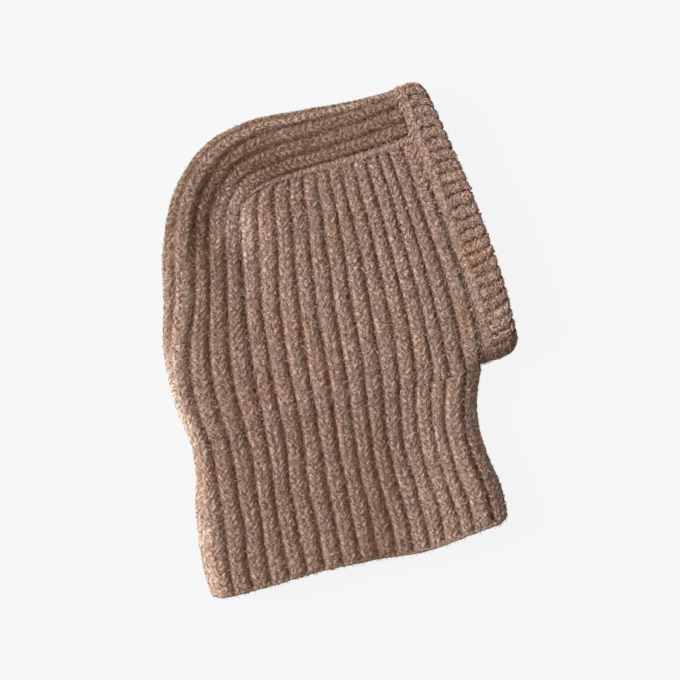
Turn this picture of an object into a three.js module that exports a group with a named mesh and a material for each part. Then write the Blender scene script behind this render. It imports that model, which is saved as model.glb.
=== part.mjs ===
// A snood hood knitted from thick brushed wool, laid flat on its left side.
// Millimetres. +X points to the face, +Y to the crown, +Z up from the surface that it lies on.
// The origin is on that surface, under the middle of the hood.
//
// Every knitted piece is a wall with ribs. A point of a wall is given by two shares along its surface
// and a depth, measured inwards from the rib crests, and each wall is a loft of closed rings:
// up or across the inner face, and back along the outer face.
import * as THREE from "three";
import { LoftGeometry } from "three/addons/geometries/LoftGeometry.js";

// Driving sizes
const HALF_THICKNESS = 13; // of the folded hood, and the radius of its folds
const WALL = 4.5; // thickness of the knitting, the same at crests and valleys
const RIB_RELIEF = 3; // the valley between two ribs lies this far below their crests
const BAND_RELIEF = 2.4; // the same for the narrower ribs of the face band
const BAND_SCALLOP = 1.2; // the face band's front edge draws back this far between its ribs
const GAP = 0.3; // between neighbouring pieces
const SEAM_GAP = 0.5; // between the crown strip and the side panels

// Ribs
const NECK_RIBS = 37; // one centred on the back fold, and 18 to each side of it
const STRIP_RIBS = 9; // one centred on the fold, and 4 to each side of it
const SIDE_RIBS = 13;
const BAND_RIBS = 52;

// One rib's section: how far across the rib, and the share of the relief it is sunk by.
const RIB_SECTION = [
  { across: 0, sunk: 1 },
  { across: 0.3, sunk: 0 },
  { across: 0.7, sunk: 0 },
];

// The neck from the hem to the chin, in equal steps. back and front are its two folds, crowd tells how much
// closer together the ribs lie at the front than at the back, and lean by what share of a rib the back fold
// runs off the middle of its rib, which fades out over LEAN_REACH ribs.
const NECK_ROWS = [
  { y: -185, back: -150.8, front: 104.4, crowd: 0.16, lean: 0.15 },
  { y: -159.4, back: -151, front: 104.8, crowd: 0.18, lean: 0.2 },
  { y: -133.8, back: -148, front: 101.4, crowd: 0.2, lean: 0.32 },
  { y: -108.2, back: -144.2, front: 99.8, crowd: 0.2, lean: 0.28 },
  { y: -82.6, back: -137.2, front: 104, crowd: 0.16, lean: 0.12 },
  { y: -57, back: -134.3, front: 114, crowd: 0.11, lean: 0 },
];
const LEAN_REACH = 5.5;
const HEM_DIP = { x: 32, wide: 34, depth: 5.2 }; // the hem hangs lower here
const HEM_CORNER = 7; // the hem rises this far round each fold
const HEM_CORNER_POWER = 24; // and this sharply
const CHIN_Y = -57; // the neck ends here, level with the chin

// Soft dents of the upper layer: the crease round the back of the crown, the slack cheek and the waist.
const DENTS = [
  { x: -62, y: 156, wide: 13, tall: 13, depth: 3.2 },
  { x: -76, y: 127, wide: 10, tall: 13, depth: 1.5 },
  { x: -90, y: 98, wide: 10, tall: 17, depth: 2.4 },
  { x: -101, y: 60, wide: 9, tall: 20, depth: 1.6 },
  { x: 45, y: 20, wide: 40, tall: 45, depth: 1.5 },
  { x: 40, y: -88, wide: 55, tall: 20, depth: 1.3 },
];

// The face band from the chin to the crown, in equal steps. base is where its stitches are picked up.
const BAND_ROWS = [
  { y: -56.5, base: 112.8, front: 149.8 },
  { y: -26.1, base: 116.9, front: 149.6 },
  { y: 4.3, base: 116.9, front: 150 },
  { y: 34.7, base: 114.8, front: 148.3 },
  { y: 65.1, base: 112.3, front: 145.4 },
  { y: 95.5, base: 109.8, front: 142.2 },
  { y: 125.9, base: 107.5, front: 137.4 },
  { y: 156.3, base: 105.2, front: 132.6 },
  { y: 186.7, base: 102.9, front: 128 },
];
const BAND_BOTTOM = { y: -56.3, slope: 5.5, corner: 9 }; // the fold under the chin, base to front
const BAND_TOP = { y: 185.2, slope: 0, corner: -9 }; // the fold at the crown
const CORNER_POWER = 6; // how sharply both turn at the front corner

// The face band's section from its base to its front edge. out and in are the depths of its outer
// and inner faces, and ribbed is the share of the rib relief there. The inner face has fewer turns.
const BAND_SECTION = [
  { across: 0, out: 2.6, in: 6.4, ribbed: 0 },
  { across: 0.11, out: 0.2, ribbed: 0.1 },
  { across: 0.23, out: 2, ribbed: 0.3 },
  { across: 0.36, out: 0, in: WALL, ribbed: 1 },
  { across: 0.88, out: 0, ribbed: 1 },
  { across: 1, out: 1.3, in: 3.6, ribbed: 0.8 },
];

// The crown strip from the neck up the back and over the crown to the face band, in equal steps.
// outline is its fold, seam is where the side panels join it, and lean is as the neck's.
const STRIP_ROWS = [
  { outlineX: NECK_ROWS.at(-1).back, outlineY: CHIN_Y + GAP, seamX: neckX(4.5), seamY: CHIN_Y + GAP, lean: 0 },
  { outlineX: -138.8, outlineY: -16, seamX: -69.8, seamY: -16, lean: 0 },
  { outlineX: -136.1, outlineY: 25, seamX: -64.8, seamY: 25, lean: 0.2 },
  { outlineX: -125.6, outlineY: 66, seamX: -58.2, seamY: 62, lean: 0.48 },
  { outlineX: -114.8, outlineY: 104.5, seamX: -52.4, seamY: 94, lean: 0.55 },
  { outlineX: -96.6, outlineY: 146.6, seamX: -46.4, seamY: 118, lean: 0.5 },
  { outlineX: -63, outlineY: 178.6, seamX: -27.5, seamY: 135, lean: 0.38 },
  { outlineX: -21.9, outlineY: 190.1, seamX: 2, seamY: 139.5, lean: 0.22 },
  { outlineX: 23.3, outlineY: 187.8, seamX: 37, seamY: 140, lean: 0.1 },
  { outlineX: 66, outlineY: 183.8, seamX: 72.3, seamY: 141, lean: -0.15 },
  { outlineX: 102.8, outlineY: 183.3, seamX: bandX("base", 144) - GAP, seamY: 144, lean: -0.4 },
];
const STRIP_STEPS = 26;
const SEAM_CORNER = 0.56; // the share of the seam where it turns from the back to the crown
const TOP_CROWD = 0.13; // crowding of the side ribs where they meet the crown strip

// The ribs' run on the neck and the side panels: how far up, depths of the outer and inner faces,
// and the share of the rib relief. The side ribs end rounded, sunk into the seam.
const NECK_RUN = [
  { up: 0, out: 1.4, in: 3.4, ribbed: 0.8 },
  { up: 0.035, out: 0, in: WALL, ribbed: 1 },
  { up: 0.2, out: 0, ribbed: 1 },
  { up: 0.4, out: 0, in: WALL, ribbed: 1 },
  { up: 0.6, out: 0, ribbed: 1 },
  { up: 0.8, out: 0, in: WALL, ribbed: 1 },
  { up: 1, out: 0, in: WALL, ribbed: 1 },
];
const SIDE_RUN = [
  { up: 0, out: 0, in: WALL, ribbed: 1 },
  { up: 0.1, out: 0, ribbed: 1 },
  { up: 0.25, out: 0, in: WALL, ribbed: 1 },
  { up: 0.45, out: 0, ribbed: 1 },
  { up: 0.65, out: 0, in: WALL, ribbed: 1 },
  { up: 0.83, out: 0, ribbed: 1 },
  { up: 0.95, out: 0, in: WALL, ribbed: 1 },
  { up: 0.985, out: 1, ribbed: 0.7 },
  { up: 1, out: 3, in: 7, ribbed: 0 },
];

// A smooth curve through one column of a table whose rows are equal steps apart, read at a share 0 to 1.
function read(rows, column, share) {
  const at = THREE.MathUtils.clamp(share, 0, 1) * (rows.length - 1);
  const step = Math.min(Math.floor(at), rows.length - 2);
  const t = at - step;
  const value = (row) => rows[THREE.MathUtils.clamp(row, 0, rows.length - 1)][column];
  const [before, start, end, after] = [step - 1, step, step + 1, step + 2].map(value);
  const rise = (end - before) / 2;
  const fall = (after - start) / 2;
  const bend = 2 * (start - end) + rise + fall;
  return start + t * (rise + t * (3 * (end - start) - 2 * rise - fall + t * bend));
}

function blend(start, end, share) {
  return start + (end - start) * share;
}

// Closer together towards the end, still from 0 to 1.
function crowded(share, crowd) {
  return share + crowd * share * (1 - share);
}

// Ribs counted from a fold that runs off their middle by the lean and straightens within the reach.
function leaned(rib, lean, reach) {
  return rib + lean * Math.max(1 - (rib / reach) ** 2, 0);
}

// A layer folded flat into a ring: walls HALF_THICKNESS from the middle plane, joined by half-round folds.
// s runs round the outer face from the first fold, over the upper wall and back under the lower one.
// Gives the distance in from the first fold's outermost line, and the height.
function foldedRing(s, width, depth) {
  const quarter = (Math.PI / 2) * HALF_THICKNESS;
  const once = 2 * (width - 2 * HALF_THICKNESS + 2 * quarter);
  const round = THREE.MathUtils.euclideanModulo(s, once);
  const lower = round > once / 2;
  const run = lower ? once - round : round;
  const radius = HALF_THICKNESS - depth;
  let inwards = run - quarter + HALF_THICKNESS;
  let rise = radius;
  if (run < quarter) {
    inwards = HALF_THICKNESS - radius * Math.cos(run / HALF_THICKNESS);
    rise = radius * Math.sin(run / HALF_THICKNESS);
  } else if (run > once / 2 - quarter) {
    const turn = (once / 2 - run) / HALF_THICKNESS;
    inwards = width - HALF_THICKNESS + radius * Math.cos(turn);
    rise = radius * Math.sin(turn);
  }
  return { inwards, z: HALF_THICKNESS + (lower ? -rise : rise) };
}

function halfRound(width) {
  return width - 2 * HALF_THICKNESS + Math.PI * HALF_THICKNESS;
}

// The upper layer sinks into its dents. The lower layer, which lies on the surface, doesn't.
function dented(x, y, z) {
  const upper = THREE.MathUtils.smoothstep(z, HALF_THICKNESS, HALF_THICKNESS + 5);
  const sunk = DENTS.reduce(
    (sum, d) => sum + d.depth * Math.exp(-(((x - d.x) / d.wide) ** 2) - ((y - d.y) / d.tall) ** 2),
    0,
  );
  return new THREE.Vector3(x, y, z - upper * sunk);
}

// The neck's ribs are counted from the middle of the back fold, over the upper layer.
function neckPoint(rib, up, depth) {
  const back = read(NECK_ROWS, "back", up);
  const width = read(NECK_ROWS, "front", up) - back;
  const counted = rib > NECK_RIBS / 2 ? rib - NECK_RIBS : rib;
  const fromFold = leaned(counted, read(NECK_ROWS, "lean", up), LEAN_REACH);
  const s = crowded(Math.abs(fromFold) / (NECK_RIBS / 2), read(NECK_ROWS, "crowd", up)) * halfRound(width);
  const at = foldedRing(s * Math.sign(fromFold), width, depth);
  const x = back + at.inwards;
  const dip = HEM_DIP.depth * Math.exp(-(((x - HEM_DIP.x) / HEM_DIP.wide) ** 2));
  const corner = HEM_CORNER * Math.abs((2 * at.inwards) / width - 1) ** HEM_CORNER_POWER;
  const y = read(NECK_ROWS, "y", up) + (corner - dip) * (1 - up);
  return dented(x, y, at.z);
}

// Where a rib of the neck's upper layer ends, level with the chin.
function neckX(rib) {
  return neckPoint(rib, 1, RIB_RELIEF).x;
}

function bandX(edge, y) {
  const start = BAND_ROWS[0].y;
  return read(BAND_ROWS, edge, (y - start) / (BAND_ROWS.at(-1).y - start));
}

// The band's folds rise or fall from its base to its rounded front corner.
function foldY(fold, across) {
  return fold.y + fold.slope * across + fold.corner * across ** CORNER_POWER;
}

// The band's ribs are counted from the chin fold, over the upper layer. sunk is 1 between two ribs.
function bandPoint(rib, across, depth, sunk) {
  const bottom = foldY(BAND_BOTTOM, across);
  const height = foldY(BAND_TOP, across) - bottom;
  const at = foldedRing((2 * halfRound(height) * rib) / BAND_RIBS, height, depth);
  const y = bottom + at.inwards;
  const x = blend(bandX("base", y), bandX("front", y), across) - BAND_SCALLOP * sunk * across ** 4;
  return dented(x, y, at.z);
}

function seamPoint(share) {
  return new THREE.Vector2(read(STRIP_ROWS, "seamX", share), read(STRIP_ROWS, "seamY", share));
}

// The strip's ribs are counted from its fold, negative on the lower layer.
function stripPoint(rib, along, depth) {
  const fold = new THREE.Vector2(read(STRIP_ROWS, "outlineX", along), read(STRIP_ROWS, "outlineY", along));
  const inwards = seamPoint(along).sub(fold);
  const width = inwards.length() - SEAM_GAP;
  const quarter = (Math.PI / 2) * HALF_THICKNESS;
  const fromFold = leaned(rib, read(STRIP_ROWS, "lean", along), STRIP_RIBS / 2);
  const s = ((width - HALF_THICKNESS + quarter) * fromFold) / (STRIP_RIBS / 2);
  const at = foldedRing(s, 4 * width, depth);
  const place = inwards.setLength(at.inwards).add(fold);
  return dented(place.x, place.y, at.z);
}

// A side panel fills the space between the neck, the crown strip and the face band.
// share runs from the strip to the band. side is 1 for the upper layer and -1 for the lower.
function sidePoint(share, up, depth, side) {
  const firstRib = STRIP_RIBS / 2;
  const reach = bandX("base", CHIN_Y) - GAP - neckX(firstRib + SIDE_RIBS);
  const foot = (f) => new THREE.Vector2(neckX(firstRib + SIDE_RIBS * f) + reach * f ** 4, CHIN_Y + GAP);
  const head = (f) => seamPoint(blend(SEAM_CORNER, 1, crowded(f, TOP_CROWD)));
  const rear = seamPoint(SEAM_CORNER * up);
  const y = blend(CHIN_Y + GAP, seamPoint(1).y, up);
  const front = new THREE.Vector2(bandX("base", y) - GAP, y);
  // The ribs bend soon after the neck, and each edge pulls most at the ribs next to it.
  const bent = 1 - (1 - up) ** 2;
  const spread = (f, part, axis) => blend(foot(f)[axis], head(f)[axis], part);
  const pulled = (axis, part, rearPull, frontPull) =>
    spread(share, part, axis) +
    rearPull * (rear[axis] - spread(0, part, axis)) +
    frontPull * (front[axis] - spread(1, part, axis));
  const x = pulled("x", bent, (1 - share) ** 2, share ** 2);
  const place = new THREE.Vector2(x, pulled("y", up, 1 - share, share));
  const chin = Math.hypot(place.x - NECK_ROWS.at(-1).front, place.y - CHIN_Y);
  const short = Math.max(0, HALF_THICKNESS - chin);
  const rise = Math.max(Math.sqrt(HALF_THICKNESS ** 2 - short ** 2) - depth, GAP);
  return dented(place.x, place.y, HALF_THICKNESS + side * rise);
}

// The stations across a run of ribs, each a place counted in ribs from the first valley.
function ribStations(ribs, closed) {
  const stations = [];
  for (let rib = 0; rib < ribs; rib++)
    for (const point of RIB_SECTION) stations.push({ at: rib + point.across, sunk: point.sunk });
  stations.push({ at: closed ? 0 : ribs, sunk: 1 });
  return stations;
}

// A closed ring of a wall: its inner face one way and its outer face back.
function wallRing(stops, point) {
  const inner = stops.filter((stop) => "in" in stop).map((stop) => point(stop, stop.in));
  const outer = stops.map((stop) => point(stop, stop.out)).reverse();
  return [...inner, ...outer];
}

function knitted(name, rings, colour, ends) {
  const geometry = new LoftGeometry(rings, { capStart: ends, capEnd: ends });
  const wool = new THREE.MeshStandardMaterial({ color: colour, roughness: 1, metalness: 0 });
  const mesh = new THREE.Mesh(geometry, wool);
  mesh.name = name;
  return mesh;
}

function neckTube() {
  const rings = ribStations(NECK_RIBS, true).map(({ at, sunk }) =>
    wallRing(NECK_RUN, (stop, depth) => neckPoint(at - 0.5, stop.up, depth + stop.ribbed * sunk * RIB_RELIEF)),
  );
  return knitted("neck_tube", rings, 0x84695b, false);
}

function sidePanel(name, side) {
  const rings = ribStations(SIDE_RIBS, false).map(({ at, sunk }) =>
    wallRing(SIDE_RUN, (stop, depth) =>
      sidePoint(at / SIDE_RIBS, stop.up, depth + stop.ribbed * sunk * RIB_RELIEF, side),
    ),
  );
  if (side < 0) rings.forEach((ring) => ring.reverse());
  return knitted(name, rings, 0x8d7063, true);
}

function crownStrip() {
  const stops = ribStations(STRIP_RIBS, false).map(({ at, sunk }) => ({
    rib: at - STRIP_RIBS / 2,
    out: sunk * RIB_RELIEF,
    in: WALL + sunk * RIB_RELIEF,
  }));
  const rings = [];
  for (let step = 0; step <= STRIP_STEPS; step++)
    rings.push(wallRing(stops, (stop, depth) => stripPoint(stop.rib, step / STRIP_STEPS, depth)).reverse());
  return knitted("crown_strip", rings, 0x836c5e, true);
}

function faceBand() {
  const rings = ribStations(BAND_RIBS, true).map(({ at, sunk }) =>
    wallRing(BAND_SECTION, (stop, depth) =>
      bandPoint(at, stop.across, depth + stop.ribbed * sunk * BAND_RELIEF, sunk),
    ).reverse(),
  );
  return knitted("face_band", rings, 0x8b7062, false);
}

const hood = new THREE.Group();
hood.add(neckTube(), sidePanel("side_panel_right", 1), sidePanel("side_panel_left", -1));
hood.add(crownStrip(), faceBand());

export default hood;
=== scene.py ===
"""The looks of a snood hood knitted from thick brushed wool, laid flat on its left side on a pale floor.

The hood is a folded tube of rib knitting: a neck, two side panels, a strip over the crown and a band round
the face. Each piece is a ribbed ground of knitting that carries its stitches, laid as rows of plump yarn
loops, and a coat of loose brushed hairs. Everything is placed by two coordinates on the piece's surface, the
rib and the share of its length, and a depth below the rib crests. Sizes are millimetres until a mesh is made.
"""

import logging
import math
from dataclasses import dataclass
from enum import Enum

import bmesh
import bpy
import numpy as np
from mathutils import Matrix, Vector

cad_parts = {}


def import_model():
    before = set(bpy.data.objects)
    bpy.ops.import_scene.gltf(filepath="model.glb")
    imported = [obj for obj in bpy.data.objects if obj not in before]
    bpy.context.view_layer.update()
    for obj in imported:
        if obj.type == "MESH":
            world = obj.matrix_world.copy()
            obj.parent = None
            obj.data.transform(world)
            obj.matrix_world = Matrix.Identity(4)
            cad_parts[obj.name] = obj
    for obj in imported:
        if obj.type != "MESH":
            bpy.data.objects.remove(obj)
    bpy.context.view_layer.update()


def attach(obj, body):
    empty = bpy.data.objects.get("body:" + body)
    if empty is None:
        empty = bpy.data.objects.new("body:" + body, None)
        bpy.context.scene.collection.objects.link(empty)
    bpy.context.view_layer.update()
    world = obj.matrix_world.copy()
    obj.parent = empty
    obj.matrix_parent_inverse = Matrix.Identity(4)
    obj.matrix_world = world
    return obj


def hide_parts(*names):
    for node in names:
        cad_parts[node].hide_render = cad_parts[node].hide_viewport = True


LOG = logging.getLogger("hood")
MM = 0.001
SEED = 11
LYING = Matrix.Rotation(math.radians(90), 3, "X")  # turns a sphere's poles to lie along y
FACE_ORDER = Vector((1, 10, 100))  # gives each face of a small sphere a number of its own

# The folded hood
HALF_THICKNESS = 13.0
FLOOR_CLEARANCE = 0.1
CHIN_Y = -57.0
GAP = 0.3  # between neighbouring pieces
SEAM_GAP = 0.05  # between the crown strip and a side panel
SEAM_CORNER = 0.56  # the share of the crown seam that runs up a side panel's rear edge
TOP_CROWD = 0.13  # of a side panel's ribs along the rest of that seam
SAG = 9.0
COAT = 0.8  # room above the stitches for the brushed hairs
VALLEY_POWER = 2.8  # the higher, the narrower the valleys between ribs

# Ribs
NECK_RIBS = 37
STRIP_RIBS = 9
SIDE_RIBS = 13
BAND_RIBS = 52
# How ribs wander: each wave's number round the piece, radians for each row, and start
WANDER_WAVES = (
    (3, 0.21, 0.4),
    (7, -0.33, 2.1),
    (11, 0.55, 4.0),
    (16, -0.8, 1.3),
    (19, 3.4, 0.9),
    (26, -4.2, 2.7),
)

Array = np.ndarray


@dataclass(frozen=True)
class Bell:
    """A soft bump, by the place of its top, its half width and its height."""

    top: float
    width: float
    height: float = 1.0

    def at(self, place: Array) -> Array:
        """The bump's height at each place."""
        return self.height * np.exp(-(((place - self.top) / self.width) ** 2))


@dataclass(frozen=True)
class Table:
    """Rows an equal step apart, with a smooth curve through each named column."""

    columns: tuple[str, ...]
    rows: tuple[tuple[float, ...], ...]

    def read(self, column: str, share: Array) -> Array:
        """Reads a column.

        Args:
            column: the column's name.
            share: places from the first row, 0, to the last, 1.

        Returns:
            The curve's value at each place.
        """
        values = np.array([row[self.columns.index(column)] for row in self.rows], float)
        last = len(values) - 1
        at = np.clip(share, 0, 1) * last
        step = np.minimum(np.floor(at).astype(int), last - 1)
        t = at - step
        before, start, end, after = (values[np.clip(step + k, 0, last)] for k in (-1, 0, 1, 2))
        rise, fall = (end - before) / 2, (after - start) / 2
        bend = 2 * (start - end) + rise + fall
        return start + t * (rise + t * (3 * (end - start) - 2 * rise - fall + t * bend))


NECK_ROWS = Table(
    ("y", "back", "front", "crowd", "lean"),
    (
        (-185, -150.8, 104.4, 0.16, 0.15),
        (-159.4, -151, 104.8, 0.18, 0.2),
        (-133.8, -148, 101.4, 0.2, 0.32),
        (-108.2, -144.2, 99.8, 0.2, 0.28),
        (-82.6, -137.2, 104, 0.16, 0.12),
        (-57, -134.3, 114, 0.11, 0),
    ),
)
BAND_ROWS = Table(
    ("y", "base", "front"),
    (
        (-56.5, 112.8, 149.8),
        (-26.1, 116.9, 149.6),
        (4.3, 116.9, 150),
        (34.7, 114.8, 148.3),
        (65.1, 112.3, 145.4),
        (95.5, 109.8, 142.2),
        (125.9, 107.5, 137.4),
        (156.3, 105.2, 132.6),
        (186.7, 102.9, 128),
    ),
)
STRIP_ROWS = Table(
    ("outline_x", "outline_y", "seam_x", "seam_y", "lean"),
    (
        (-134.3, -56.7, -72.4, -56.7, 0),
        (-139.1, -16, -69.8, -16, 0),
        (-136.6, 25, -64.8, 25, 0.2),
        (-126.2, 66, -58.2, 62, 0.48),
        (-116, 105, -52.4, 94, 0.55),
        (-96.6, 146.6, -46.4, 118, 0.5),
        (-63, 178.6, -27.5, 135, 0.38),
        (-21.9, 190.1, 2, 139.5, 0.22),
        (23.3, 187.8, 37, 140, 0.1),
        (66, 184.2, 72.3, 141, -0.15),
        (102.8, 184.4, 105.8, 144, -0.4),
    ),
)
# Soft dents of the upper layer
DENTS = (
    {"x": -62, "y": 156, "wide": 13, "tall": 13, "depth": 1.5},
    {"x": -76, "y": 127, "wide": 10, "tall": 13, "depth": 1},
    {"x": -90, "y": 98, "wide": 10, "tall": 17, "depth": 1.2},
    {"x": -101, "y": 60, "wide": 9, "tall": 20, "depth": 1},
    {"x": 45, "y": 20, "wide": 40, "tall": 45, "depth": 1.5},
    {"x": 48, "y": -105, "wide": 36, "tall": 45, "depth": 3},
)


def sag_at(along: Array) -> Array:
    """How far the upper layer sags at the crown seam, by the share of the seam from the neck."""
    return SAG * smooth(along, 0.12, 0.48) * (1 - 0.5 * smooth(along, 0.7, 1.0))


def folded_ring(s: Array, width: Array, depth: Array) -> tuple[Array, Array]:
    """A layer folded flat into a ring, with a half-round fold at each end.

    Args:
        s: way round the outer face from the first fold, over the upper wall and back under the lower one.
        width: the flat ring's width between its folds' outermost lines.
        depth: depth below the outer face.

    Returns:
        The distance in from the first fold, and the height above the floor.
    """
    quarter = math.pi / 2 * HALF_THICKNESS
    once = 2 * (width - 2 * HALF_THICKNESS + 2 * quarter)
    around = np.mod(s, once)
    lower = around > once / 2
    run = np.where(lower, once - around, around)
    radius = HALF_THICKNESS - depth
    near = run < quarter
    far = run > once / 2 - quarter
    turn = np.where(far, once / 2 - run, run) / HALF_THICKNESS
    inwards = np.where(near, HALF_THICKNESS - radius * np.cos(turn), run - quarter + HALF_THICKNESS)
    inwards = np.where(far, width - HALF_THICKNESS + radius * np.cos(turn), inwards)
    rise = np.where(near | far, radius * np.sin(turn), radius)
    return inwards, HALF_THICKNESS + np.where(lower, -rise, rise)


def half_round(width: Array) -> Array:
    """The way from one fold over the upper wall to the other."""
    return width - 2 * HALF_THICKNESS + math.pi * HALF_THICKNESS


def crowded(share: Array, crowd: Array) -> Array:
    """Shares that lie closer together towards the end."""
    return share + crowd * share * (1 - share)


def leaned(rib: Array, lean: Array, reach: float) -> Array:
    """Ribs counted from the fold, which runs a little off their middle and straightens within reach."""
    return rib + lean * np.maximum(1 - (rib / reach) ** 2, 0)


def smooth(value: Array, low: float, high: float) -> Array:
    """Rises softly from 0 at low to 1 at high."""
    t = np.clip((value - low) / (high - low), 0, 1)
    return t * t * (3 - 2 * t)


def from_first_fold(rib: Array, ribs: int) -> Array:
    """Ribs round a closed piece, counted from its first fold and negative on the lower layer."""
    return np.mod(rib + ribs / 2, ribs) - ribs / 2


@dataclass(frozen=True)
class Shoulder:
    """How far the upper layer drops beside a fold, where the cloth is pressed less flat, and how far in."""

    drop: float
    reach: float

    def lowered(self, z: Array, from_fold: Array) -> Array:
        """Lowers heights by their distance in from the fold."""
        upper = smooth(z, HALF_THICKNESS, HALF_THICKNESS + 6)
        return z - self.drop * upper * (1 - smooth(from_fold, 0, self.reach))


BACK = Shoulder(drop=2.6, reach=32)
FRONT = Shoulder(drop=4.5, reach=20)


def dented(x: Array, y: Array, z: Array) -> Array:
    """Sinks the upper layer into its dents and keeps the lower one on the floor.

    Args:
        x: places to the front.
        y: places to the crown.
        z: heights above the floor.

    Returns:
        Points, one a row.
    """
    sunk = sum(
        d["depth"] * np.exp(-(((x - d["x"]) / d["wide"]) ** 2) - ((y - d["y"]) / d["tall"]) ** 2)
        for d in DENTS
    )
    height = z - sunk * smooth(z, HALF_THICKNESS, HALF_THICKNESS + 5)
    return np.stack([x, y, np.maximum(height, FLOOR_CLEARANCE)], axis=-1)


# The hem, which rises and dips by its place, and the lean of the neck's ribs
HEM_RISE = 1.1
HEM_CORNER_RISE = 7.0
HEM_CORNER_POWER = 24  # the higher, the closer to the folds the hem rises
HEM_DIP = Bell(32, 34, 5.2)
HEM_HUMP = Bell(-63, 28, 1.3)
NECK_LEAN_REACH = 5.5  # in ribs from the back fold


def neck_point(rib: Array, up: Array, depth: Array) -> Array:
    """Gives points of the neck.

    Args:
        rib: places across the ribs, from the back fold.
        up: shares of the way up from the hem.
        depth: depths below the rib crests.

    Returns:
        Points, one a row.
    """
    back = NECK_ROWS.read("back", up)
    width = NECK_ROWS.read("front", up) - back
    rib = leaned(from_first_fold(rib, NECK_RIBS), NECK_ROWS.read("lean", up), NECK_LEAN_REACH)
    s = crowded(np.abs(rib) / (NECK_RIBS / 2), NECK_ROWS.read("crowd", up)) * half_round(width)
    inwards, z = folded_ring(s * np.sign(rib), width, depth)
    z = FRONT.lowered(BACK.lowered(z, inwards), width - inwards)
    x = back + inwards
    corner = HEM_CORNER_RISE * np.abs(2 * inwards / width - 1) ** HEM_CORNER_POWER
    rise = HEM_RISE + corner - HEM_DIP.at(x) + HEM_HUMP.at(x)
    y = NECK_ROWS.read("y", up) + rise * (1 - np.clip(up, 0, 1))
    beyond = (up - np.clip(up, 0, 1)) * (NECK_ROWS.rows[-1][0] - NECK_ROWS.rows[0][0])
    return dented(x, y + beyond, z)


def band_x(edge: str, y: Array) -> Array:
    """Where the band's base or front edge lies at a height."""
    start, end = BAND_ROWS.rows[0][0], BAND_ROWS.rows[-1][0]
    return BAND_ROWS.read(edge, (y - start) / (end - start))


def seam_point(share: Array) -> Array:
    """A point of the seam between the crown strip and a side panel."""
    return np.stack([STRIP_ROWS.read("seam_x", share), STRIP_ROWS.read("seam_y", share)], axis=-1)


@dataclass
class Spots:
    """Where and how each loop or hair of a piece lies. Each field is an array with one value a copy.

    rib and along are the middle, angle turns it from along the rib towards the next rib, and length, wide and
    thick are its size. tilt lifts its far end, bend bows it sideways and arch bows it outwards. depth is its
    middle's depth and tone its shade.
    """

    rib: Array
    along: Array
    angle: Array
    length: Array
    wide: Array
    thick: Array
    depth: Array
    tilt: Array
    bend: Array
    arch: Array
    tone: Array

    def only(self, keep: Array) -> "Spots":
        """Keeps some of the spots."""
        return Spots(**{name: getattr(self, name)[keep] for name in Spots.__dataclass_fields__})

    @staticmethod
    def join(parts: list["Spots"]) -> "Spots":
        """Puts several lots of spots into one."""
        names = Spots.__dataclass_fields__
        return Spots(**{name: np.concatenate([getattr(p, name) for p in parts]) for name in names})


@dataclass(frozen=True)
class Chain:
    """A row of slanting legs of yarn across a piece's ribs, such as a bind-off. Angles are degrees."""

    along: float
    angle: float
    angle_jitter: float
    length: float
    wide: float
    thick: float
    depth: float
    tilt: float
    bend: float
    arch: float
    tone: float = 0.5
    along_jitter: float = 0.001
    per_rib: int = 3
    start: float = 0.5

    def spots(self, rng: np.random.Generator, first: float, ribs: int) -> Spots:
        """Lays out the chain's legs.

        Args:
            rng: the random numbers.
            first: the piece's first place across the ribs.
            ribs: how many ribs the chain crosses.

        Returns:
            The spots.
        """
        count = ribs * self.per_rib
        jitter = rng.normal(size=(3, count))
        shared = ("length", "wide", "thick", "depth", "tilt", "bend", "arch")
        even = {name: np.full(count, float(getattr(self, name))) for name in shared}
        return Spots(
            rib=first + (np.arange(count) + self.start) / self.per_rib,
            along=self.along + self.along_jitter * jitter[0],
            angle=np.radians(self.angle + self.angle_jitter * jitter[1]),
            tone=np.clip(self.tone + 0.2 * jitter[2], 0, 1),
            **even,
        )


class Layer(Enum):
    """What a mesh is made as: the ground of the knitting, its yarn loops or its loose hairs."""

    GROUND = "ground"
    YARN = "yarn"
    HAIR = "hair"


def linear(hex_colour: str) -> tuple[float, float, float, float]:
    """Turns an sRGB colour into linear values.

    Args:
        hex_colour: the colour, such as #c8a99c.

    Returns:
        Red, green, blue and full opacity.
    """
    parts = [int(hex_colour[i : i + 2], 16) / 255 for i in (1, 3, 5)]
    values = [c / 12.92 if c <= 0.04045 else ((c + 0.055) / 1.055) ** 2.4 for c in parts]
    return values[0], values[1], values[2], 1.0


def add_node(tree: bpy.types.NodeTree, kind: str, inputs: dict, **settings: object) -> bpy.types.Node:
    """Adds a node with its settings and links.

    Args:
        tree: the material's node tree.
        kind: the node's type.
        inputs: values or output sockets by input name or number.
        settings: the node's own settings.

    Returns:
        The node.
    """
    node = tree.nodes.new(kind)
    for name, value in settings.items():
        setattr(node, name, value)
    for name, value in inputs.items():
        if isinstance(value, bpy.types.NodeSocket):
            tree.links.new(value, node.inputs[name])
        else:
            node.inputs[name].default_value = value
    return node


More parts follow.
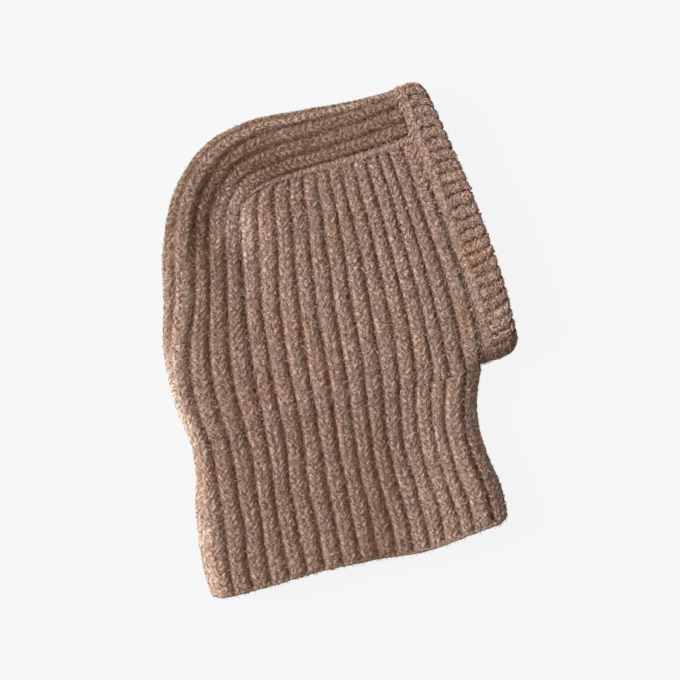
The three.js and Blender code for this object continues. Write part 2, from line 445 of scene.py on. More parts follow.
@dataclass(frozen=True)
class BrushedWool:
    """Brushed wool yarn, spun thick and teased with a wire brush.

    To the eye it is matt and hairy: a rosy taupe with greyer and browner patches as wide as a few ribs, light
    hair tips, and brown shade wherever the hairs don't reach the light.
    """

    rose: str = "#c8a99c"
    grey: str = "#c3aa9b"
    tan: str = "#c29b80"
    shade: str = "#78380e"
    # The hair tips' colour, which is also the painted highlight where a piece paints light
    tip_and_highlight: str = "#d8cebe"
    patch_mm: float = 60.0
    fleck_mm: float = 3.4
    fibre_mm: float = 1.3  # real wool is some 0.03 mm thick, which wouldn't show, so its clumps are drawn
    fibre_length_mm: float = 1.8
    bump_mm: float = 0.55
    roughness: float = 0.92

    def material(self, layer: Layer) -> bpy.types.Material:
        """Makes the wool as one layer shows it.

        Args:
            layer: the layer that wears it.

        Returns:
            The material.
        """
        mat = bpy.data.materials.new(f"brushed_wool_{layer.value}")
        mat.use_nodes = True
        tree = mat.node_tree
        tree.nodes.clear()
        place = add_node(tree, "ShaderNodeTexCoord", {}).outputs["Object"]
        tone = add_node(tree, "ShaderNodeAttribute", {}, attribute_name="tone").outputs["Fac"]
        sunk = add_node(tree, "ShaderNodeAttribute", {}, attribute_name="sunk").outputs["Fac"]
        strand = add_node(tree, "ShaderNodeAttribute", {}, attribute_name="strand").outputs["Vector"]
        patch = self.noise(tree, place, (self.patch_mm,) * 3, 2, 0.5)
        other = self.noise(tree, place, (self.patch_mm * 0.6,) * 3, 2, 0.5, shift=7.3)
        fleck = self.noise(tree, place, (self.fleck_mm,) * 3, 2, 0.6)
        fibre_size = (self.fibre_mm, self.fibre_length_mm, self.fibre_mm)
        fibre = self.noise(tree, strand, fibre_size, 2, 0.75)
        # How light a piece looks: its own lightness, with the painted light and painted shade that it adds
        brushed = add_node(tree, "ShaderNodeAttribute", {}, attribute_name="brushed").outputs["Fac"]
        shaded = {Layer.GROUND: 0.9, Layer.YARN: 0.7, Layer.HAIR: 0.3}[layer]
        # While a value runs from its first number to its second, the colour's share runs from third to last
        blends = (
            (patch, (0.36, 0.66, 0, 1), self.grey),
            (other, (0.54, 0.76, 0, 0.8), self.tan),
            (fibre, (0.36, 0.56, shaded, 0), self.shade),
            (fleck, (0.52, 0.72, 0, 0.4), self.tip_and_highlight),
            (sunk, (0.24, 0.92, 0, 0.92), self.shade),
            # Painted highlight in the tip colour where a piece paints light, and a warmer painted shade in
            # tan where it paints shade
            (brushed, (1.14, 1.4, 0, 0.6), self.tip_and_highlight),
            (brushed, (0.7, 0.96, 0.8, 0), self.tan),
        )
        colour = linear(self.rose)
        for value, limits, hex_colour in blends:
            colour = self.blend(tree, self.stretch(tree, value, *limits), colour, linear(hex_colour))
        low, high = {Layer.GROUND: (0.9, 1.1), Layer.YARN: (0.8, 1.02), Layer.HAIR: (0.29, 1.64)}[layer]
        light = self.stretch(tree, tone, 0, 1, low, high)
        # The piece's lightness, with its painted light and painted shade, scales the colour
        light = add_node(tree, "ShaderNodeMath", {0: light, 1: brushed}, operation="MULTIPLY").outputs[0]
        colour = add_node(
            tree, "ShaderNodeMix", {0: 1.0, 6: colour, 7: light}, data_type="RGBA", blend_type="MULTIPLY"
        ).outputs[2]
        height = {"Strength": 1.0, "Distance": self.bump_mm * MM, "Height": fibre}
        bump = add_node(tree, "ShaderNodeBump", height).outputs["Normal"]
        shader = add_node(
            tree,
            "ShaderNodeBsdfPrincipled",
            {"Base Color": colour, "Roughness": self.roughness, "Normal": bump, "Sheen Weight": 0.12},
        )
        shader.inputs["Sheen Roughness"].default_value = 0.5
        shader.inputs["Sheen Tint"].default_value = linear(self.tip_and_highlight)
        shader.inputs["Specular IOR Level"].default_value = 0.15
        add_node(tree, "ShaderNodeOutputMaterial", {"Surface": shader.outputs["BSDF"]})
        return mat

    def noise(
        self,
        tree: bpy.types.NodeTree,
        place: bpy.types.NodeSocket,
        size_mm: tuple[float, float, float],
        detail: float,
        roughness: float,
        shift: float = 0.0,
    ) -> bpy.types.NodeSocket:
        """Noise with lumps of a real size.

        Args:
            tree: the material's node tree.
            place: the coordinates' socket, in metres.
            size_mm: the lumps' size each way.
            detail: the octaves.
            roughness: how strong the finer octaves are.
            shift: moves the pattern.

        Returns:
            The noise's socket.
        """
        inverse = tuple(1 / (size * MM) for size in size_mm)
        inputs = {0: place, 1: inverse, 2: (shift / MM, 0, 0)}
        scaled = add_node(tree, "ShaderNodeVectorMath", inputs, operation="MULTIPLY_ADD").outputs[0]
        inputs = {"Vector": scaled, "Scale": 1.0, "Detail": detail, "Roughness": roughness}
        return add_node(tree, "ShaderNodeTexNoise", inputs).outputs["Fac"]

    def stretch(
        self,
        tree: bpy.types.NodeTree,
        value: bpy.types.NodeSocket,
        low: float,
        high: float,
        new_low: float,
        new_high: float,
    ) -> bpy.types.NodeSocket:
        """Stretches a value from one range to another.

        Args:
            tree: the material's node tree.
            value: the value's socket.
            low: where the new range starts.
            high: where it ends.
            new_low: the new value at low.
            new_high: the new value at high.

        Returns:
            The new value's socket.
        """
        inputs = {"Value": value, "From Min": low, "From Max": high, "To Min": new_low, "To Max": new_high}
        return add_node(tree, "ShaderNodeMapRange", inputs).outputs[0]

    def blend(
        self, tree: bpy.types.NodeTree, share: bpy.types.NodeSocket, first: object, second: object
    ) -> bpy.types.NodeSocket:
        """Blends two colours.

        Args:
            tree: the material's node tree.
            share: the second colour's share.
            first: a colour or its socket.
            second: a colour or its socket.

        Returns:
            The blend's socket.
        """
        inputs = {0: share, 6: first, 7: second}
        return add_node(tree, "ShaderNodeMix", inputs, data_type="RGBA").outputs[2]


def loop_template() -> bmesh.types.BMesh:
    """Makes one plump leg of a stitch.

    Returns:
        The shape, from -1 to 1 each way, with its length along y.
    """
    plumpness, on_axis = 0.6, 1e-4
    bm = bmesh.new()
    bmesh.ops.create_uvsphere(bm, u_segments=6, v_segments=4, radius=1.0)
    bmesh.ops.rotate(bm, verts=bm.verts, matrix=LYING)
    for vert in bm.verts:
        around = math.hypot(vert.co.x, vert.co.z)
        if around > on_axis:
            plump = around**plumpness / around
            vert.co.x *= plump
            vert.co.z *= plump
    # The sphere's faces come in another order each run, so they are put in order of their place
    bm.faces.sort(key=lambda face: face.calc_center_median().dot(FACE_ORDER))
    return bm


def hair_template() -> bmesh.types.BMesh:
    """Makes one tuft of hairs.

    Returns:
        The shape, a spindle from -1 to 1 along y with a three-sided middle of radius 1.
    """
    bm = bmesh.new()
    bmesh.ops.create_uvsphere(bm, u_segments=3, v_segments=2, radius=1.0)
    bmesh.ops.rotate(bm, verts=bm.verts, matrix=LYING)
    return bm


def arrayed(name: str, template: bmesh.types.BMesh, count: int) -> tuple[bpy.types.Mesh, Array]:
    """Joins copies of a template into one mesh with an array.

    Args:
        name: the mesh's name.
        template: the shape to repeat. It is freed.
        count: how many copies.

    Returns:
        The mesh, and the template's points for each copy.
    """
    single = bpy.data.meshes.new(name + "_single")
    template.to_mesh(single)
    template.free()
    holder = bpy.data.objects.new(name + "_holder", single)
    bpy.context.scene.collection.objects.link(holder)
    array = holder.modifiers.new("copies", "ARRAY")
    array.count = count
    array.use_relative_offset = False
    ready = holder.evaluated_get(bpy.context.evaluated_depsgraph_get())
    mesh = bpy.data.meshes.new_from_object(ready)
    mesh.name = name
    bpy.data.objects.remove(holder)
    bpy.data.meshes.remove(single)
    points = np.empty(len(mesh.vertices) * 3, np.float32)
    mesh.vertices.foreach_get("co", points)
    return mesh, points.reshape(count, -1, 3).astype(float)


def finish_mesh(mesh: bpy.types.Mesh, points: Array, attributes: dict[str, Array]) -> bpy.types.Mesh:
    """Gives a mesh its final points and the values that its material reads.

    Args:
        mesh: the mesh.
        points: its points in millimetres.
        attributes: values for each point, by name.

    Returns:
        The same mesh.
    """
    mesh.vertices.foreach_set("co", (points * MM).astype(np.float32).ravel())
    for name, values in attributes.items():
        flat = values.astype(np.float32).ravel()
        kind, key = ("FLOAT", "value") if len(flat) == len(points) else ("FLOAT_VECTOR", "vector")
        mesh.attributes.new(name, kind, "POINT").data.foreach_set(key, flat)
    mesh.update()
    mesh.shade_smooth()
    return mesh


@dataclass
class KnitPiece:
    """A piece of rib knitting.

    Its ribs are counted from `first`, and `along` runs from 0 to 1 in the direction in which it was knitted.
    """

    name: str
    node: str
    ribs: int
    first: float
    rows: int
    hairs: int
    closed: bool = False
    relief: float = 3.4
    ground_depth: float = 0.75
    inner_depth: float = 5.0
    inner_shade: float = 0.5
    darkest_depth: float = 5.5
    ground_tone: float = 0.45
    lightness: float = 1.0
    rib_steps: int = 6
    row_steps: int = 2
    inner_rows: int = 10
    loop_length: float = 8.2
    loop_wide: float = 2.2
    loop_thick: float = 2.1
    loop_spread: float = 0.225
    loop_angle: float = 32.0
    leg_slant: float = 3.0
    stitch_depth: float = 0.55
    stitch_middle: Bell = Bell(0, 0.06, 0.4)
    wander: float = 0.018
    seed: int = SEED

    def place(self, rib: Array, along: Array, depth: Array) -> Array:
        """Gives points of the smooth surface through the rib crests, less their depth."""
        raise NotImplementedError

    def ending(self, along: Array) -> Array:
        """How far the ribs sink towards the piece's ends."""
        return np.zeros_like(along)

    def sink(self, rib: Array, along: Array) -> Array:
        """How far the surface lies below the crests.

        Args:
            rib: places across the ribs.
            along: places along the ribs.

        Returns:
            The depth, greatest between two ribs.
        """
        deep = self.relief * self.valley(rib) * self.pull(rib)
        return deep + self.stitches(rib, along) + self.ending(along)

    def stitches(self, rib: Array, along: Array) -> Array:
        """How far the surface sinks between the stitches, whose two legs slant outwards up each rib.

        Args:
            rib: places across the ribs.
            along: places along the ribs.

        Returns:
            The depth, 0 on a leg.
        """
        from_middle = np.abs(np.mod(rib - self.first, 1) - 0.5)
        row = along * self.rows - 0.5 - self.leg_slant * (from_middle - self.loop_spread)
        legs = smooth(from_middle, 0.02, 0.14) * (1 - smooth(from_middle, 0.43, 0.5))
        between = (0.5 - 0.5 * np.cos(2 * math.pi * row)) ** 2 * legs
        return self.stitch_depth * (between + self.stitch_middle.at(from_middle))

    def valley(self, rib: Array) -> Array:
        """The share of the valley's depth, 0 on a rib's crest and 1 between two ribs."""
        return np.abs(2 * np.mod(rib - self.first, 1) - 1) ** VALLEY_POWER

    def brushed(self, rib: Array, along: Array) -> Array:
        """How light the wool looks: the piece's lightness, 1 unless it says otherwise, to which a piece adds
        painted light and painted shade.
        """
        return np.full_like(rib, self.lightness)

    def pull(self, rib: Array) -> Array:
        """How deep the valleys are across the piece, 1 where nothing pulls at them."""
        return np.ones_like(rib)

    def wandered(self, rib: Array, along: Array) -> Array:
        """Ribs wander a little to both sides, as hand knitting does.

        Args:
            rib: places across the ribs.
            along: places along the ribs.

        Returns:
            The places, moved.
        """
        turn = 2 * math.pi * rib / self.ribs
        rows = along * self.rows
        move = sum(np.sin(times * turn + rate * rows + start) for times, rate, start in WANDER_WAVES)
        edge = 1.0
        if not self.closed:
            across = (rib - self.first) / self.ribs
            edge = smooth(across, 0, 0.08) * smooth(1 - across, 0, 0.08)
        ends = smooth(along, 0, 0.05) * smooth(1 - along, 0, 0.05)
        return rib + self.wander * move * edge * ends

    def knit(self, rib: Array, along: Array, depth: Array) -> Array:
        """Gives points of the ribbed surface, less their depth."""
        return self.place(self.wandered(rib, along), along, COAT + depth + self.sink(rib, along))

    def pitch(self, rib: Array, along: Array) -> tuple[Array, Array]:
        """The size of one rib across and of the whole length, at places on the surface.

        Args:
            rib: places across the ribs.
            along: places along the ribs.

        Returns:
            Millimetres for each rib, and millimetres for the whole share.
        """
        near, step = 0.2, 0.01
        depth = np.full_like(rib, 2.0)
        across = self.place(rib + near, along, depth) - self.place(rib - near, along, depth)
        low, high = np.clip(along - step, 0, 1), np.clip(along + step, 0, 1)
        length = self.place(rib, high, depth) - self.place(rib, low, depth)
        return (
            np.linalg.norm(across, axis=-1) / (2 * near),
            np.linalg.norm(length, axis=-1) / (high - low),
        )

    def ground_mesh(self) -> bpy.types.Mesh:
        """Makes the ribbed ground as one closed wall, its outer face one way and its inner face back.

        Returns:
            The mesh.
        """
        across = self.ribs * self.rib_steps
        outer = np.linspace(0, 1, self.rows * self.row_steps + 1)
        inner = np.linspace(1, 0, self.inner_rows + 1)
        stops = np.concatenate([outer, inner, [0.0]])
        inside = np.concatenate([np.zeros_like(outer), np.ones_like(inner), [0.0]]) > 0
        bm = bmesh.new()
        bmesh.ops.create_grid(bm, x_segments=across, y_segments=len(stops) - 1, size=1.0)
        mesh = bpy.data.meshes.new(self.name + "_ground")
        bm.to_mesh(mesh)
        points = np.empty(len(mesh.vertices) * 3, np.float32)
        mesh.vertices.foreach_get("co", points)
        grid = (points.reshape(-1, 3) + 1) / 2
        station = np.rint(grid[:, 0] * across).astype(int)
        stop = np.rint(grid[:, 1] * (len(stops) - 1)).astype(int)
        along, inner_face = stops[stop], inside[stop]
        rib = self.first + station / self.rib_steps
        if self.closed:
            rib = self.first + np.mod(station, across) / self.rib_steps
        depth = np.where(inner_face, self.inner_depth, self.ground_depth)
        if not self.closed:
            middle = (self.ground_depth + self.inner_depth) / 2
            depth = np.where((station == 0) | (station == across), middle, depth)
        placed = self.knit(rib, along, depth)
        sunk = (depth + self.sink(rib, along)) / self.darkest_depth
        rib_mm, length_mm = self.pitch(rib, along)
        values = {
            "sunk": np.clip(np.where(inner_face, self.inner_shade, sunk), 0, 1),
            "tone": np.full(len(placed), self.ground_tone),
            "strand": np.stack([rib * rib_mm, along * length_mm, depth], axis=-1) * MM,
            "brushed": self.brushed(rib, along),
        }
        finish_mesh(mesh, placed, values)
        bm.free()
        bm = bmesh.new()
        bm.from_mesh(mesh)
        bmesh.ops.remove_doubles(bm, verts=bm.verts, dist=1e-6)
        bmesh.ops.recalc_face_normals(bm, faces=bm.faces)
        bm.to_mesh(mesh)
        bm.free()
        mesh.shade_smooth()
        return mesh

    def laid(self, name: str, template: bmesh.types.BMesh, spots: Spots) -> bpy.types.Mesh:
        """Lays a copy of a template at each spot of the surface.

        Args:
            name: the mesh's name.
            template: the shape, from -1 to 1 along y.
            spots: where and how each copy lies.

        Returns:
            The mesh.
        """
        bow_middle, strand_step = 0.4, 7.7
        mesh, local = arrayed(name, template, len(spots.rib))
        s = {key: getattr(spots, key)[:, None] for key in Spots.__dataclass_fields__}
        x, y, z = local[..., 0], local[..., 1], local[..., 2]
        run = y * s["length"] / 2
        side = x * s["wide"] + s["bend"] * (y * y - bow_middle)
        lift = z * s["thick"] + s["tilt"] * y + s["arch"] * (1 - y * y)
        across_mm = run * np.sin(s["angle"]) + side * np.cos(s["angle"])
        along_mm = run * np.cos(s["angle"]) - side * np.sin(s["angle"])
        rib_mm, length_mm = self.pitch(spots.rib, spots.along)
        rib = s["rib"] + across_mm / rib_mm[:, None]
        along = s["along"] + along_mm / length_mm[:, None]
        depth = s["depth"] - lift
        points = self.knit(rib, along, depth)
        sunk = np.clip((depth + self.sink(rib, along)) / self.darkest_depth, 0, 1)
        tone = np.broadcast_to(s["tone"], sunk.shape)
        own = np.arange(len(spots.rib))[:, None] * strand_step
        strand = np.stack([side + own, run, z * s["thick"]], axis=-1) * MM
        values = {"sunk": sunk, "tone": tone, "strand": strand, "brushed": self.brushed(rib, along)}
        return finish_mesh(mesh, points.reshape(-1, 3), values)

    def loop_spots(self, rng: np.random.Generator) -> Spots:
        """Lays out the knit stitches, two legs each, row by row up each rib.

        Args:
            rng: the random numbers.

        Returns:
            The spots.
        """
        rib_no, row_no, side = (
            grid.ravel().astype(float)
            for grid in np.meshgrid(np.arange(self.ribs), np.arange(self.rows), (-1, 1), indexing="ij")
        )
        count = len(rib_no)
        jitter = rng.normal(size=(8, count))
        even = np.ones(count)
        return Spots(
            rib=self.first + 0.5 + rib_no + side * self.loop_spread + 0.02 * jitter[0],
            along=(row_no + 0.5 + 0.1 * jitter[1]) / self.rows,
            angle=side * np.radians(self.loop_angle + 8 * jitter[2]),
            length=self.loop_length * (1 + 0.05 * jitter[3]),
            wide=self.loop_wide * (1 + 0.06 * jitter[4]),
            thick=self.loop_thick * (1 + 0.06 * jitter[5]),
            depth=2.1 + 0.25 * jitter[6],
            tilt=-0.9 * even,
            bend=-0.7 * side,
            arch=0.3 * even,
            tone=np.clip(0.5 + 0.16 * jitter[7], 0, 1),
        )

    def hair_spots(self, rng: np.random.Generator, count: int, low: float, high: float) -> Spots:
        """Strews brushed hairs over some of the ribs.

        Args:
            rng: the random numbers.
            count: how many hairs.
            low: the first place across the ribs.
            high: the last place.

        Returns:
            The spots.
        """
        rib = rng.uniform(low, high, count)
        place = np.mod(rib - self.first, 1)
        lean = np.where(place > 0.5, 1.0, -1.0)
        turned = rng.random(count) < 0.5
        bridging = 0.55 * self.relief * self.valley(rib) * (rng.random(count) < 0.3)
        return Spots(
            rib=rib,
            along=rng.uniform(0.002, 0.998, count),
            angle=lean * math.radians(26) + rng.normal(0, math.radians(50), count) + math.pi * turned,
            length=1.7 + 4.6 * rng.random(count) ** 2,
            wide=rng.uniform(0.18, 0.36, count),
            thick=rng.uniform(0.16, 0.32, count),
            depth=rng.uniform(-0.4, 0.6, count) - bridging,
            tilt=rng.uniform(0.0, 0.8, count),
            bend=rng.normal(0, 0.7, count),
            arch=rng.uniform(-0.2, 0.5, count),
            tone=np.clip(rng.normal(0.6, 0.3, count), 0, 1),
        )

    def extra_spots(self, rng: np.random.Generator) -> list[Spots]:
        """Lays out the piece's other yarn, such as a bind-off."""
        return []

    def build(self, wool: dict[Layer, bpy.types.Material]) -> None:
        """Makes the piece's meshes, dresses them and fixes them to the frame.

        Args:
            wool: the material of each layer.
        """
        rng = np.random.default_rng(self.seed)
        loops = Spots.join([self.loop_spots(rng), *self.extra_spots(rng)])
        self.add(self.ground_mesh(), Layer.GROUND, wool)
        self.add(self.laid(self.name + "_yarn", loop_template(), loops), Layer.YARN, wool)
        low, high = self.upper_ribs()
        few = self.hairs // 6  # lie all round the piece, and the others only where it shows
        hairs = Spots.join(
            [
                self.hair_spots(rng, self.hairs - few, low, high),
                self.hair_spots(rng, few, self.first, self.first + self.ribs),
            ]
        )
        self.add(self.laid(self.name + "_hair", hair_template(), hairs), Layer.HAIR, wool)

    def upper_ribs(self) -> tuple[float, float]:
        """The stretch of ribs that shows from above."""
        return self.first, self.first + self.ribs

    def add(self, mesh: bpy.types.Mesh, layer: Layer, wool: dict[Layer, bpy.types.Material]) -> None:
        """Adds a mesh to the scene as a piece that stands for the node.

        Args:
            mesh: the mesh.
            layer: its layer.
            wool: the material of each layer.
        """
        mesh.materials.append(wool[layer])
        piece = bpy.data.objects.new(mesh.name, mesh)
        bpy.context.scene.collection.objects.link(piece)
        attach(piece, "root")
        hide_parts(self.node)
        mesh.calc_loop_triangles()
        LOG.info("%s: %d triangles", piece.name, len(mesh.loop_triangles))


@dataclass
class Neck(KnitPiece):
    """The neck, a tube folded flat at the back and the front, with a bound-off hem.

    The bells lie across the ribs, counted from the fold that each is named for.
    """

    closed: bool = True
    lightness: float = 0.9
    front_wide: Bell = Bell(2, 0.6, 0.2)
    front_narrow: Bell = Bell(3, 0.6, 0.16)
    front_flat: Bell = Bell(1, 0.5, 0.75)
    front_shallow: Bell = Bell(2, 0.5, 0.1)
    front_loose: Bell = Bell(1.8, 0.5, 1.4)
    back_flat: Bell = Bell(0, 0.8, 0.8)
    bind_off: Chain = Chain(
        along=0.017,
        angle=80,
        angle_jitter=5,
        length=7.6,
        wide=1.8,
        thick=1.6,
        depth=1.4,
        tilt=0.4,
        bend=0.4,
        arch=0.2,
    )

    def from_front(self, rib: Array) -> Array:
        """Ribs counted from the front fold, negative on the lower layer."""
        return self.ribs / 2 - np.mod(rib, self.ribs)

    def place(self, rib: Array, along: Array, depth: Array) -> Array:
        """Gives points of the neck, with its last whole rib spread at the front fold.

        Args:
            rib: places across the ribs.
            along: places along the ribs.
            depth: depths below the crests.

        Returns:
            Points, one a row.
        """
        from_front = self.from_front(rib)
        spread = self.front_wide.at(from_front) - self.front_narrow.at(from_front)
        return neck_point(rib + spread, along, depth)

    def pull(self, rib: Array) -> Array:
        """The upper layer puckers behind its last whole rib, and the ribs smooth out round the folds.

        Args:
            rib: places across the ribs.

        Returns:
            How deep the valleys are.
        """
        from_front = self.from_front(rib)
        folds = self.front_flat.at(from_front) + self.back_flat.at(from_first_fold(rib, self.ribs))
        loose = 0.14 * (1 - smooth(np.abs(from_front), 4, 8))
        return 1 - folds - loose - self.front_shallow.at(from_front)

    def sink(self, rib: Array, along: Array) -> Array:
        """The ribs end in the smooth bind-off, and the cloth is soft and loose behind the front fold.

        Args:
            rib: places across the ribs.
            along: places along the ribs.

        Returns:
            The depth below the crests.
        """
        bound_off, bound_off_depth = 0.75, 0.5
        hem = 1 - smooth(along, 0.01, 0.05)
        loose = self.front_loose.at(np.abs(self.from_front(rib)))
        return (super().sink(rib, along) + loose) * (1 - bound_off * hem) + bound_off_depth * hem

    def brushed(self, rib: Array, along: Array) -> Array:
        """How light the wool looks: painted light on the back fold, painted shade in the pucker and behind
        the front fold, lighter towards the front and darker along the hem.

        Args:
            rib: places across the ribs.
            along: places along the ribs.

        Returns:
            The lightness.
        """
        from_back = np.abs(from_first_fold(rib, self.ribs))
        # Painted light on the back fold, which faces the window
        folded = 0.34 * (1 - smooth(from_back, 0.4, 1.8)) * (1 - 0.15 * smooth(along, 0.6, 1.0))
        # Painted shade in the pucker
        pucker = 0.26 * np.exp(-(((from_back - 9.7 - 2.7 * along) / 1.5) ** 2)) * (1 - 0.5 * along)
        edge = 0.42 * (1 - smooth(along, 0.0, 0.025))
        # Lighter towards the front, with painted shade just behind the front fold, which faces away from the
        # window
        front = 0.19 * smooth(from_back, 9, 13) - 0.12 * smooth(from_back, 15.3, 17)
        return self.lightness + front + folded - edge - pucker

    def ending(self, along: Array) -> Array:
        """The hem curls in a little."""
        return 1.6 * (1 - smooth(along, 0, 0.04))

    def loop_spots(self, rng: np.random.Generator) -> Spots:
        """The knit stitches, which start above the bind-off."""
        spots = super().loop_spots(rng)
        return spots.only(spots.along > 0.035)

    def upper_ribs(self) -> tuple[float, float]:
        """The upper layer and both folds."""
        return -1.6, 20.2

    def extra_spots(self, rng: np.random.Generator) -> list[Spots]:
        """The bind-off chain along the hem."""
        return [self.bind_off.spots(rng, self.first, self.ribs)]


@dataclass
class SidePanel(KnitPiece):
    """A side of the head, between the neck, the crown strip and the face band.

    `side` is 1 for the upper panel and -1 for the lower one.
    """

    side: int = 1
    lightness: float = 0.99
    seam_level: float = 3.0
    fan: float = 0.79
    bow: float = 0.43
    shift: float = 0.023
    narrow_rib: Bell = Bell(11.6, 1.1)
    light_rib: Bell = Bell(0, 1.2, 0.25)
    dark_rib: Bell = Bell(3.2, 1.3, 0.1)
    braid: Chain = Chain(
        along=0.975,
        angle=52,
        angle_jitter=9,
        length=6.8,
        wide=1.9,
        thick=1.6,
        depth=1.3,
        tilt=0.3,
        bend=0.4,
        arch=0.3,
        tone=0.45,
    )

    def place(self, rib: Array, along: Array, depth: Array) -> Array:
        """Gives points of the side panel, a patch between its four edges.

        Args:
            rib: places across the ribs, from the crown strip.
            along: places along the ribs, from the neck.
            depth: depths below the crests.

        Returns:
            Points, one a row.
        """
        up = np.clip(along, -0.02, 1.01)
        share = np.clip(rib / self.ribs, -0.02, 1.02)
        # The ribs behind the middle fan out round the crown's corner, and the last rib but one is narrow
        before_last = self.narrow_rib.at(share * self.ribs) * smooth(1 - share, 0, 0.06)
        fanned = self.fan * smooth(up, 0.3, 1.0) * (1 - share) ** 4
        apart = fanned + self.bow * up * (1 - up) * (1 - share) ** 2
        share = share * (1 + apart) - self.shift * before_last * smooth(up, 0, 0.15)
        one = np.ones_like(share)
        first_rib = STRIP_RIBS / 2
        last_rib = first_rib + self.ribs
        seam = SEAM_CORNER + (1 - SEAM_CORNER) * crowded(share, TOP_CROWD * one)

        def neck_x(at: Array) -> Array:
            """Where a rib leaves the neck's top edge."""
            return neck_point(at, one, self.seam_level * one)[..., 0]

        reach = band_x("base", CHIN_Y * one) - GAP - neck_x(last_rib * one)
        foot = neck_x(first_rib + self.ribs * share) + reach * share**4
        head = seam_point(seam)
        rear_top, front_top = seam_point(np.array([SEAM_CORNER, 1.0]))
        rear = seam_point(SEAM_CORNER * up)
        front_y = CHIN_Y + GAP + (front_top[1] - CHIN_Y - GAP) * up
        front_x = band_x("base", front_y) - GAP
        # The ribs bend soon after the neck, and each edge pulls most at the ribs next to it
        bent = 1 - (1 - up) ** 2
        start = neck_x(first_rib * one)
        rear_pull = rear[..., 0] - (start + (rear_top[0] - start) * bent)
        front_pull = front_x - (band_x("base", CHIN_Y * one) - GAP) * (1 - bent) - front_top[0] * bent
        x = foot + (head[..., 0] - foot) * bent + rear_pull * (1 - share) ** 2 + front_pull * share**2
        y = rear[..., 1] * (1 - share) + front_y * share
        y += (head[..., 1] - rear_top[1] * (1 - share) - front_top[1] * share) * up
        chin = np.hypot(x - NECK_ROWS.rows[-1][2], y - CHIN_Y)
        short = np.clip(HALF_THICKNESS - chin, 0, HALF_THICKNESS)
        rise = np.maximum(np.sqrt(HALF_THICKNESS**2 - short**2) - depth, GAP)
        if self.side > 0:
            near, high = (1 - np.clip(share / 0.5, 0, 1)) ** 2, np.clip(up / 0.4 - 1.5, 0, 1) ** 2
            sag = sag_at(SEAM_CORNER * up) * near + (sag_at(seam) - sag_at(SEAM_CORNER * one) * near) * high
            rise -= sag
        return dented(x, y, FRONT.lowered(HALF_THICKNESS + self.side * rise, chin))

    def sink(self, rib: Array, along: Array) -> Array:
        """The ribs end rounded below the narrow braid of decreases along the crown seam.

        Args:
            rib: places across the ribs.
            along: places along the ribs.

        Returns:
            The depth below the crests.
        """
        braid = smooth(along, 0.95, 0.965)
        holes = 1 + 0.5 * np.cos(6 * math.pi * rib)
        groove = Bell(0.955, 0.008, 1.4).at(along) + 2.2 * holes * smooth(along, 0.982, 1.0)
        return super().sink(rib, along) * (1 - braid) + groove + 0.5 * braid

    def brushed(self, rib: Array, along: Array) -> Array:
        """It is lighter away from the neck, more so on the rib at the crown's corner and less beside that."""
        corner = self.light_rib.at(rib) - self.dark_rib.at(rib)
        return self.lightness + 0.06 * smooth(along, 0.1, 0.5) + corner * smooth(along, 0.5, 0.85)

    def loop_spots(self, rng: np.random.Generator) -> Spots:
        """The ribs' stitches, which end below the braid."""
        spots = super().loop_spots(rng)
        return spots.only(spots.along < 0.955)

    def upper_ribs(self) -> tuple[float, float]:
        """The whole panel and a little beyond, so that hairs cross its seams."""
        return -0.15, self.ribs + 0.15

    def extra_spots(self, rng: np.random.Generator) -> list[Spots]:
        """The braid of decreases, three slanting legs to a rib."""
        return [self.braid.spots(rng, self.first, self.ribs)]


